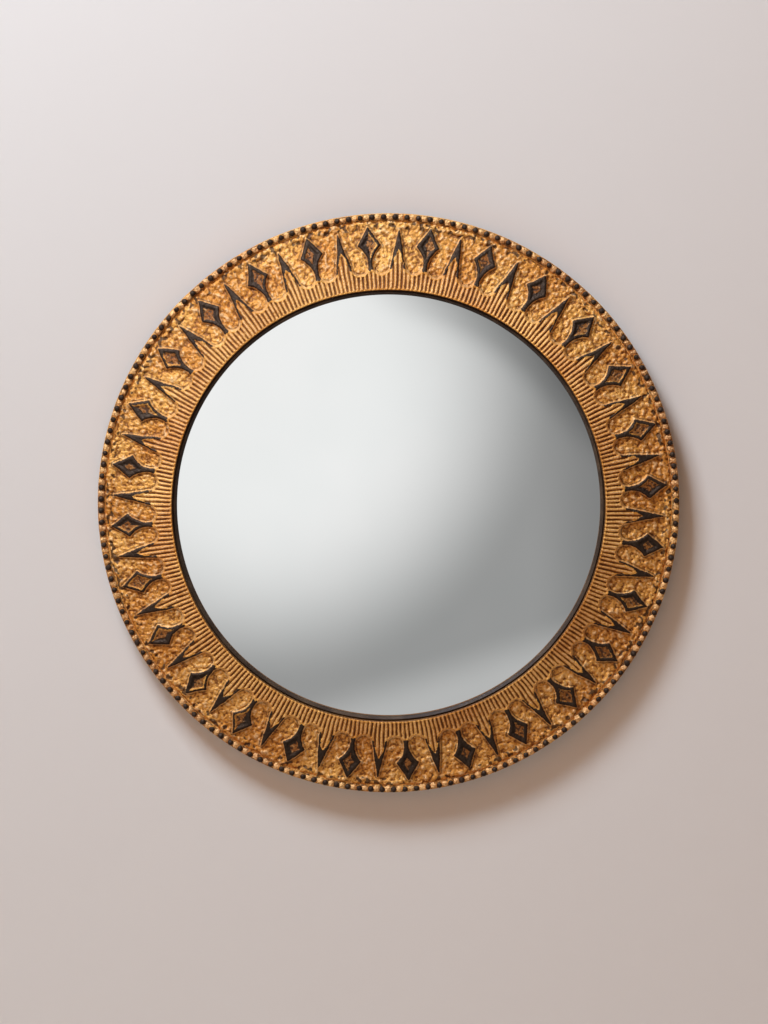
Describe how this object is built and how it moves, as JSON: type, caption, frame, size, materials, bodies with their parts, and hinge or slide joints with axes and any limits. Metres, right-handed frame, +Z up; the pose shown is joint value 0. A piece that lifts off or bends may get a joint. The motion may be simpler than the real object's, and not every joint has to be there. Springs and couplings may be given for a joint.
{
  "type": "convex mirror",
  "caption": "Round wall mirror: a domed glass in a broad cast frame of lozenges, darts and ribs with a beaded edge, held in by turn buttons and hung on a ring.",
  "frame": {"origin": "centre of the mirror in the plane of the wall, which the backs of the rubber bumpers touch", "axes": "+Y into the wall, so the glass faces -Y; +Z up as hung; +X to the right of someone facing the glass"},
  "size_m": [0.29, 0.0316, 0.29],
  "materials": {
    "gilded_resin": "cast resin, gilded, rubbed through to a black-brown ground on the raised work and in the grooves",
    "dark_slip": "black-brown, satin",
    "silvered_glass": "bent glass, silvered at the back",
    "greyboard": "pressed greyboard, raw",
    "hardboard": "pressed wood fibre, raw",
    "zinc_steel": "zinc-plated",
    "rubber": "black, moulded"
  },
  "bodies": {
    "mirror": {"frame_ring": "gilded_resin", "sight_slip": "dark_slip", "convex_mirror": "silvered_glass", "spacer_ring": "greyboard", "back_board": "hardboard", "turn_button_screws": "zinc_steel", "hanger_plate": "zinc_steel", "hanger_screws": "zinc_steel", "wall_bumper_upper_right": "rubber", "wall_bumper_lower_right": "rubber", "wall_bumper_lower_left": "rubber", "wall_bumper_upper_left": "rubber"},
    "hanging_ring": {"hanger_ring": "zinc_steel"},
    "button_1": {"turn_button_1": "zinc_steel"},
    "button_2": {"turn_button_2": "zinc_steel"},
    "button_3": {"turn_button_3": "zinc_steel"},
    "button_4": {"turn_button_4": "zinc_steel"},
    "button_5": {"turn_button_5": "zinc_steel"},
    "button_6": {"turn_button_6": "zinc_steel"}
  },
  "joints": [
    {"name": "hanging_ring_swing", "type": "hinge", "parent": "mirror", "child": "hanging_ring", "pos_m": [0, -0.00204, 0.129], "axis": [-1, 0, 0], "range_deg": [0, 170]},
    {"name": "button_1_turn", "type": "hinge", "parent": "mirror", "child": "button_1", "pos_m": [0.0595, -0.00315, 0.10306], "axis": [0, 1, 0], "continuous": true},
    {"name": "button_2_turn", "type": "hinge", "parent": "mirror", "child": "button_2", "pos_m": [0.119, -0.00315, 0], "axis": [0, 1, 0], "continuous": true},
    {"name": "button_3_turn", "type": "hinge", "parent": "mirror", "child": "button_3", "pos_m": [0.0595, -0.00315, -0.10306], "axis": [0, 1, 0], "continuous": true},
    {"name": "button_4_turn", "type": "hinge", "parent": "mirror", "child": "button_4", "pos_m": [-0.0595, -0.00315, -0.10306], "axis": [0, 1, 0], "continuous": true},
    {"name": "button_5_turn", "type": "hinge", "parent": "mirror", "child": "button_5", "pos_m": [-0.119, -0.00315, 0], "axis": [0, 1, 0], "continuous": true},
    {"name": "button_6_turn", "type": "hinge", "parent": "mirror", "child": "button_6", "pos_m": [-0.0595, -0.00315, 0.10306], "axis": [0, 1, 0], "continuous": true}
  ]
}
